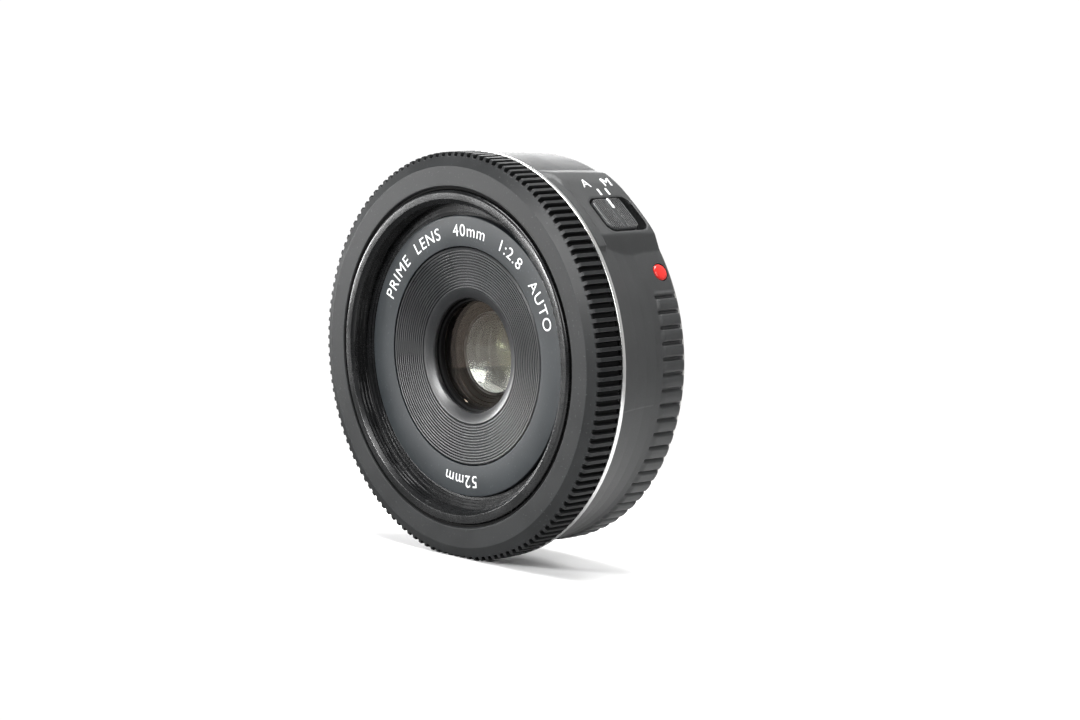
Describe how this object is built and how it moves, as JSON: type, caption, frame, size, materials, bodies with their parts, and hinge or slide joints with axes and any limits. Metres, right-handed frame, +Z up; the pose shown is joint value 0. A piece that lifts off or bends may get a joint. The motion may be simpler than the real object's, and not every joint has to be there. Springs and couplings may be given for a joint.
{
  "type": "camera lens",
  "caption": "Thin autofocus prime lens: knurled focus ring, extending optical barrel with iris, sliding focus-mode switch and a bayonet mount at the rear.",
  "frame": {"origin": "centre of the mount flange face, on the optical axis", "axes": "+Y out of the rear, away from the subject; the lens looks along -Y; +Z up as mounted on a camera; +X on the right seen from the front"},
  "size_m": [0.0682, 0.0282, 0.0682],
  "materials": {
    "casing_plastic": "fine satin texture",
    "focus_ring_plastic": "satin",
    "barrel_paint": "satin",
    "name_ring_paint": "matte, white lettering",
    "ridged_plastic": "matte ridged",
    "silver_metal": "bright turned",
    "index_red": "gloss",
    "knob_plastic": "satin",
    "mount_metal": "satin plated",
    "screw_steel": "plated",
    "black_plastic": "matte",
    "gold_contact": "polished",
    "front_glass": "coated",
    "rear_glass": "coated",
    "inner_glass": "coated",
    "cell_black": "black anodised",
    "frame_plastic": "matte",
    "drive_plastic": "matte",
    "gear_plastic": "natural",
    "motor_steel": "plated can",
    "bright_steel": "ground",
    "board_green": "solder mask",
    "flex_orange": "polyimide",
    "felt_black": "felt",
    "blade_black": "matte black"
  },
  "bodies": {
    "fixed_body": {"casing": "casing_plastic", "index_dot": "index_red", "silver_ring": "silver_metal", "ring_keeper": "bright_steel", "encoder_sensor": "black_plastic", "switch_keeper": "black_plastic", "mount_bayonet": "mount_metal", "mount_screws": "screw_steel", "contact_block": "black_plastic", "contact_pins": "gold_contact", "contact_screws": "screw_steel", "rear_baffle": "black_plastic", "main_frame": "frame_plastic", "frame_screws": "screw_steel", "gear_axles": "bright_steel", "circuit_board": "board_green", "flex_cable": "flex_orange", "motor_bracket": "bright_steel", "focus_motor": "motor_steel"},
    "focus_ring_body": {"focus_ring": "focus_ring_plastic", "encoder_scale": "bright_steel", "felt_seal": "felt_black"},
    "drive_ring_body": {"drive_ring": "drive_plastic"},
    "idler_gear_body": {"reduction_gear_2": "gear_plastic"},
    "step_gear_body": {"reduction_gear_1": "gear_plastic"},
    "motor_pinion_body": {"motor_pinion": "gear_plastic"},
    "optical_unit": {"front_barrel": "barrel_paint", "cam_followers": "bright_steel", "name_ring": "name_ring_paint", "ridged_cover": "ridged_plastic", "front_cell": "cell_black", "lens_1": "front_glass", "lens_2": "inner_glass", "front_retainer": "cell_black", "barrel_screws": "screw_steel", "iris_housing": "black_plastic", "iris_cover": "bright_steel", "iris_motor": "motor_steel", "rear_cell": "cell_black", "lens_3": "inner_glass", "lens_4": "inner_glass", "lens_5": "inner_glass", "lens_6": "rear_glass", "middle_retainer": "cell_black", "rear_retainer": "cell_black"},
    "iris_ring_body": {"iris_ring": "black_plastic"},
    "iris_pinion_body": {"iris_pinion": "gear_plastic"},
    "switch_body": {"switch_knob": "knob_plastic", "switch_slider": "black_plastic"},
    "blade_body_1": {"iris_blade_1": "blade_black"},
    "blade_body_2": {"iris_blade_2": "blade_black"},
    "blade_body_3": {"iris_blade_3": "blade_black"},
    "blade_body_4": {"iris_blade_4": "blade_black"},
    "blade_body_5": {"iris_blade_5": "blade_black"},
    "blade_body_6": {"iris_blade_6": "blade_black"},
    "blade_body_7": {"iris_blade_7": "blade_black"}
  },
  "joints": [
    {"name": "focus_ring_turn", "type": "hinge", "parent": "fixed_body", "child": "focus_ring_body", "pos_m": [0, 0, 0], "axis": [0, 1, 0], "continuous": true},
    {"name": "focus_travel", "type": "slide", "parent": "fixed_body", "child": "optical_unit", "axis": [0, -1, 0], "range_m": [0, 0.007]},
    {"name": "drive_ring_turn", "type": "hinge", "parent": "fixed_body", "child": "drive_ring_body", "pos_m": [0, 0, 0], "axis": [0, 1, 0], "range_deg": [0, 105]},
    {"name": "idler_gear_turn", "type": "hinge", "parent": "fixed_body", "child": "idler_gear_body", "pos_m": [-0.01103, -0.005, -0.02365], "axis": [0, 1, 0], "range_deg": [0, 935.46]},
    {"name": "step_gear_turn", "type": "hinge", "parent": "fixed_body", "child": "step_gear_body", "pos_m": [-0.00637, -0.005, -0.02158], "axis": [0, 1, 0], "range_deg": [-1715.01, 0]},
    {"name": "motor_pinion_turn", "type": "hinge", "parent": "fixed_body", "child": "motor_pinion_body", "pos_m": [-0.00051, -0.006, -0.02029], "axis": [0, 1, 0], "range_deg": [0, 5145.01]},
    {"name": "iris_turn", "type": "hinge", "parent": "optical_unit", "child": "iris_ring_body", "pos_m": [0, -0.0105, 0], "axis": [0, 1, 0], "range_deg": [0, 35]},
    {"name": "iris_pinion_turn", "type": "hinge", "parent": "optical_unit", "child": "iris_pinion_body", "pos_m": [0.0142, -0.0105, 0.0082], "axis": [0, 1, 0], "range_deg": [-252, 0]},
    {"name": "switch_slide", "type": "slide", "parent": "fixed_body", "child": "switch_body", "axis": [0, 1, 0], "range_m": [0, 0.00185]},
    {"name": "blade_1_swing", "type": "hinge", "parent": "optical_unit", "child": "blade_body_1", "pos_m": [0.00196, -0.0095, 0.01113], "axis": [0, 1, 0], "range_deg": [0, 28]},
    {"name": "blade_2_swing", "type": "hinge", "parent": "optical_unit", "child": "blade_body_2", "pos_m": [0.00992, -0.0095, 0.0054], "axis": [0, 1, 0], "range_deg": [0, 28]},
    {"name": "blade_3_swing", "type": "hinge", "parent": "optical_unit", "child": "blade_body_3", "pos_m": [0.01041, -0.0095, -0.00439], "axis": [0, 1, 0], "range_deg": [0, 28]},
    {"name": "blade_4_swing", "type": "hinge", "parent": "optical_unit", "child": "blade_body_4", "pos_m": [0.00306, -0.0095, -0.01088], "axis": [0, 1, 0], "range_deg": [0, 28]},
    {"name": "blade_5_swing", "type": "hinge", "parent": "optical_unit", "child": "blade_body_5", "pos_m": [-0.0066, -0.0095, -0.00917], "axis": [0, 1, 0], "range_deg": [0, 28]},
    {"name": "blade_6_swing", "type": "hinge", "parent": "optical_unit", "child": "blade_body_6", "pos_m": [-0.01129, -0.0095, -0.00056], "axis": [0, 1, 0], "range_deg": [0, 28]},
    {"name": "blade_7_swing", "type": "hinge", "parent": "optical_unit", "child": "blade_body_7", "pos_m": [-0.00748, -0.0095, 0.00847], "axis": [0, 1, 0], "range_deg": [0, 28]}
  ],
  "couplings": [
    {"joint": "drive_ring_turn", "follows": "focus_travel", "rad_per_m": 261.8},
    {"joint": "idler_gear_turn", "follows": "focus_travel", "rad_per_m": 2332.4},
    {"joint": "step_gear_turn", "follows": "focus_travel", "rad_per_m": -4276.1},
    {"joint": "motor_pinion_turn", "follows": "focus_travel", "rad_per_m": 12828},
    {"joint": "iris_pinion_turn", "follows": "iris_turn", "ratio": -7.2},
    {"joint": "blade_1_swing", "follows": "iris_turn", "ratio": 0.8},
    {"joint": "blade_2_swing", "follows": "iris_turn", "ratio": 0.8},
    {"joint": "blade_3_swing", "follows": "iris_turn", "ratio": 0.8},
    {"joint": "blade_4_swing", "follows": "iris_turn", "ratio": 0.8},
    {"joint": "blade_5_swing", "follows": "iris_turn", "ratio": 0.8},
    {"joint": "blade_6_swing", "follows": "iris_turn", "ratio": 0.8},
    {"joint": "blade_7_swing", "follows": "iris_turn", "ratio": 0.8}
  ]
}
